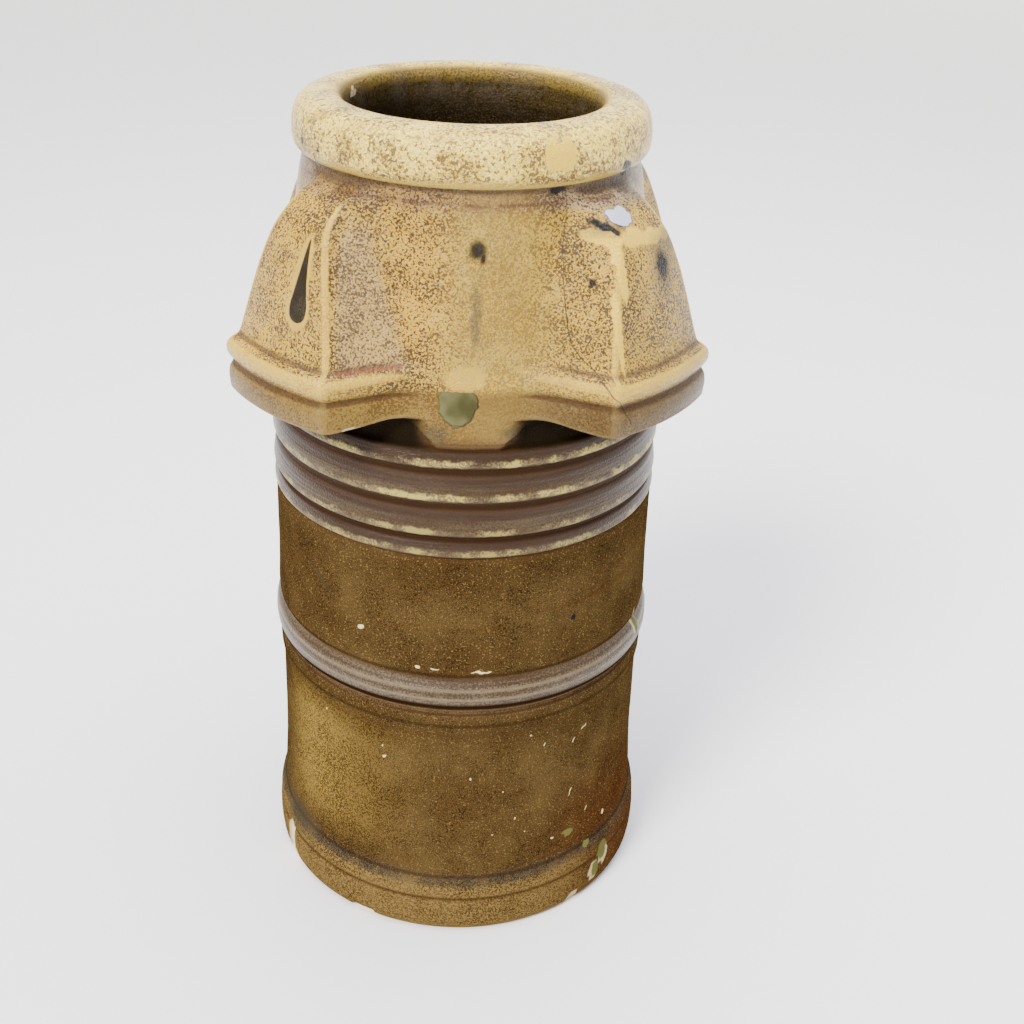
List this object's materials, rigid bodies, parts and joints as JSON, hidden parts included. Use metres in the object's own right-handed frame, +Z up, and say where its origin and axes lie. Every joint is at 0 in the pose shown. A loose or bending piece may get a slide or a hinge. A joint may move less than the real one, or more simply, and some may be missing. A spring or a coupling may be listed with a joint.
{
  "type": "chimney pot",
  "caption": "Round salt-glazed stoneware chimney pot with a rolled rim, hooded vents around its shoulder, stepped rings, a belt moulding and a swelling foot.",
  "frame": {"origin": "middle of the foot, on the plane the pot stands on", "axes": "+Z up the flue to the mouth, -Y the side the picture shows, between two hoods, +X to its right"},
  "size_m": [0.4098, 0.3903, 0.7581],
  "materials": {
    "salt_glaze": "gloss"
  },
  "bodies": {
    "root": {"chimney_pot": "salt_glaze"}
  },
  "joints": []
}
